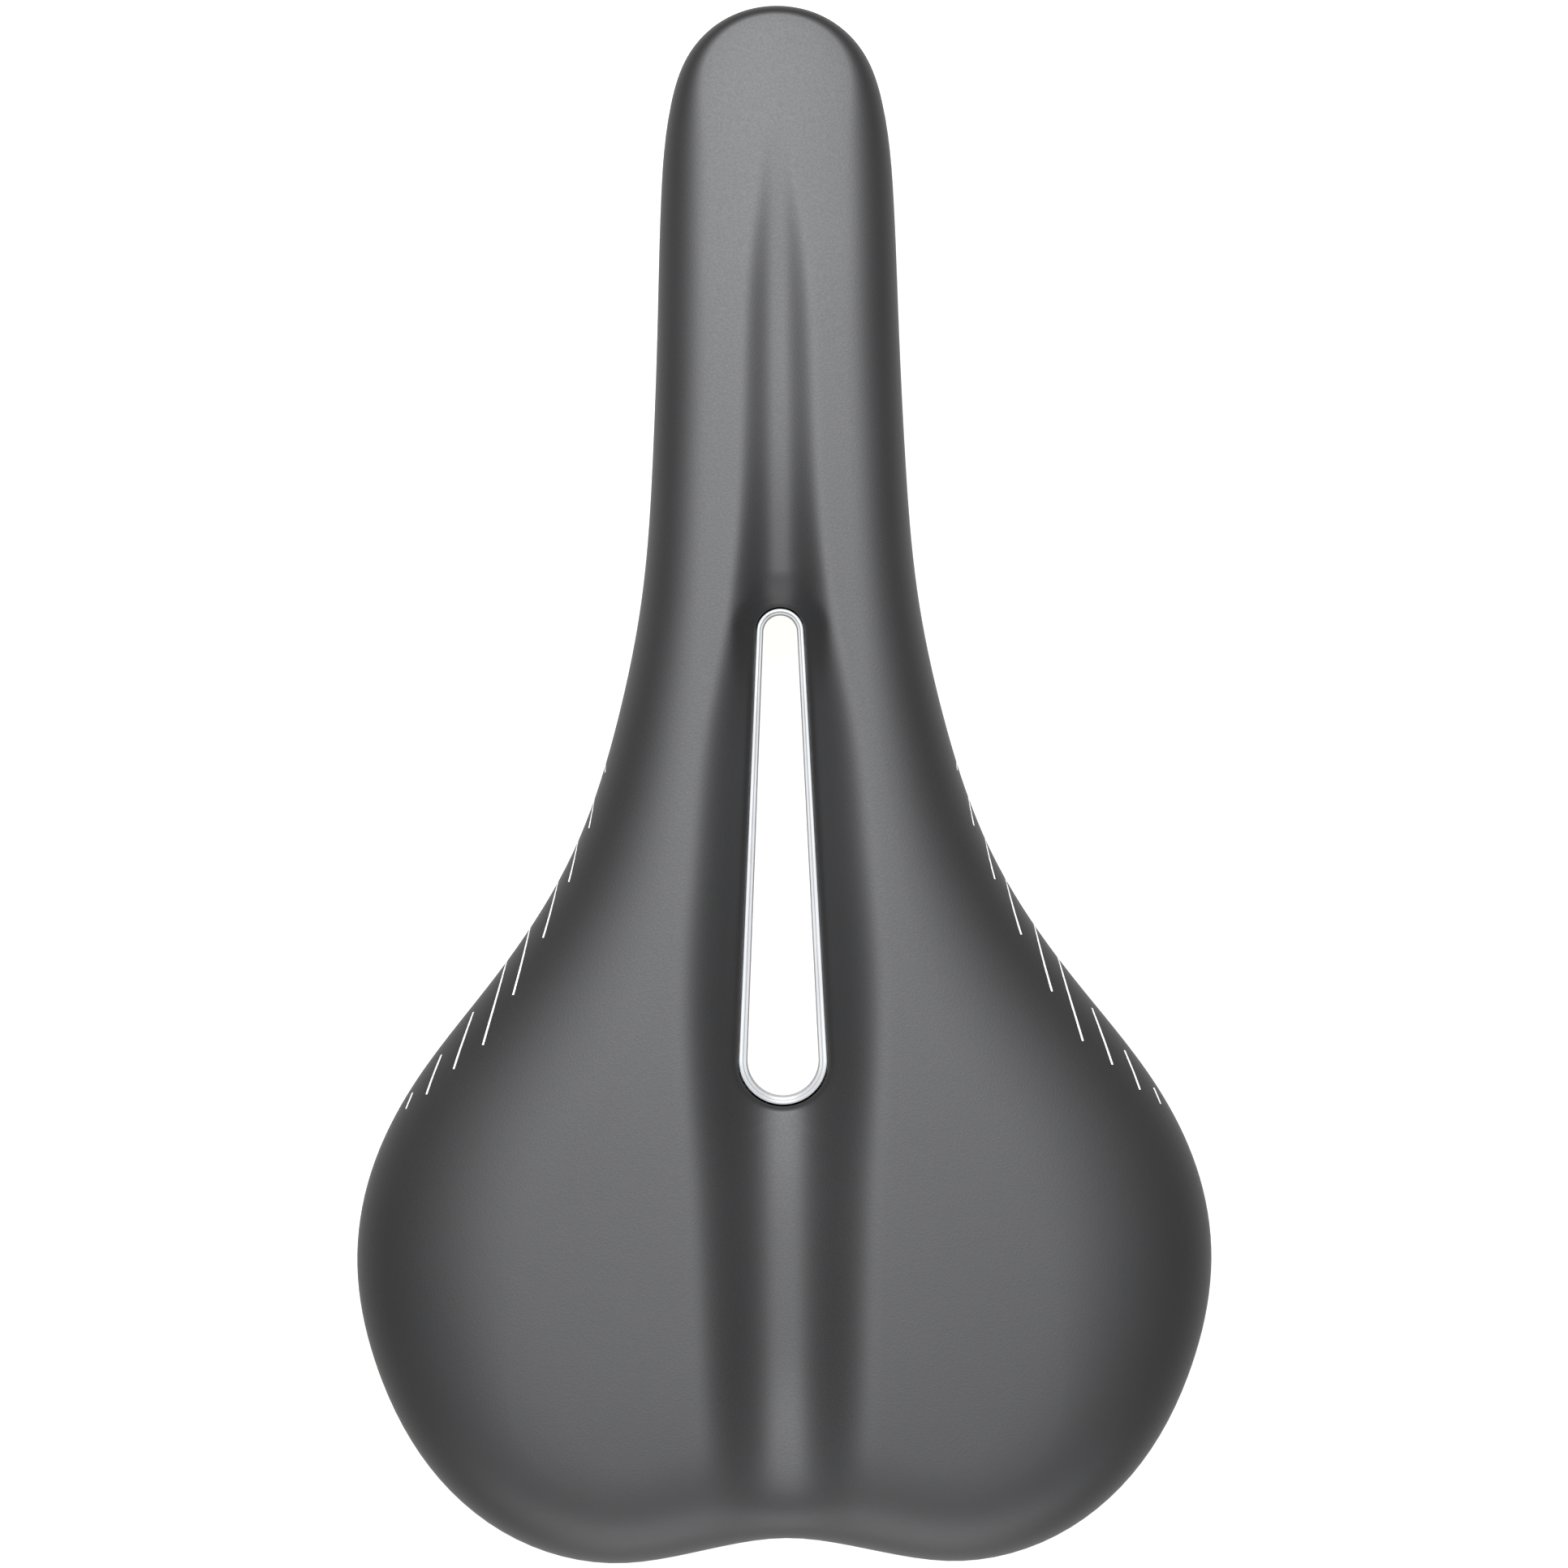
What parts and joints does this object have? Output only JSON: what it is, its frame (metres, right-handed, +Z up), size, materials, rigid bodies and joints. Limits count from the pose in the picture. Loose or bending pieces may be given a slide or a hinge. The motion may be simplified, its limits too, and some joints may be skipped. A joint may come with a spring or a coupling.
{
  "type": "bicycle saddle",
  "caption": "Padded bicycle saddle with a long narrow relief cut-out in a pale collar, a centre groove, a wrapped matt black cover, a nylon base and bent round steel rails.",
  "frame": {"origin": "middle of the rails' straight clamp zone, half way between the two rails and at the height of their centre lines", "axes": "+X to the rider's right, +Y towards the nose, +Z up"},
  "size_m": [0.1518, 0.275, 0.0529],
  "materials": {
    "cover": "matte",
    "foam": "matte",
    "base": "satin",
    "liner": "satin",
    "rail": "satin",
    "fitting": "matte",
    "bushing": "matte",
    "screw": "satin",
    "staple": "satin"
  },
  "bodies": {
    "root": {"cover": "cover", "padding": "foam", "base_shell": "base", "cutout_liner": "liner", "rails": "rail", "nose_clip": "fitting", "nose_clip_screw_front": "screw", "nose_clip_screw_rear": "screw", "rear_socket_left": "fitting", "rear_socket_right": "fitting", "rear_socket_screw_left_inner": "screw", "rear_socket_screw_left_outer": "screw", "rear_socket_screw_right_inner": "screw", "rear_socket_screw_right_outer": "screw", "rail_bushing_left": "bushing", "rail_bushing_right": "bushing", "staple_left_01": "staple", "staple_left_02": "staple", "staple_left_03": "staple", "staple_left_04": "staple", "staple_left_05": "staple", "staple_left_06": "staple", "staple_left_07": "staple", "staple_left_08": "staple", "staple_left_09": "staple", "staple_left_10": "staple", "staple_left_11": "staple", "staple_left_12": "staple", "staple_right_01": "staple", "staple_right_02": "staple", "staple_right_03": "staple", "staple_right_04": "staple", "staple_right_05": "staple", "staple_right_06": "staple", "staple_right_07": "staple", "staple_right_08": "staple", "staple_right_09": "staple", "staple_right_10": "staple", "staple_right_11": "staple", "staple_right_12": "staple"}
  },
  "joints": []
}
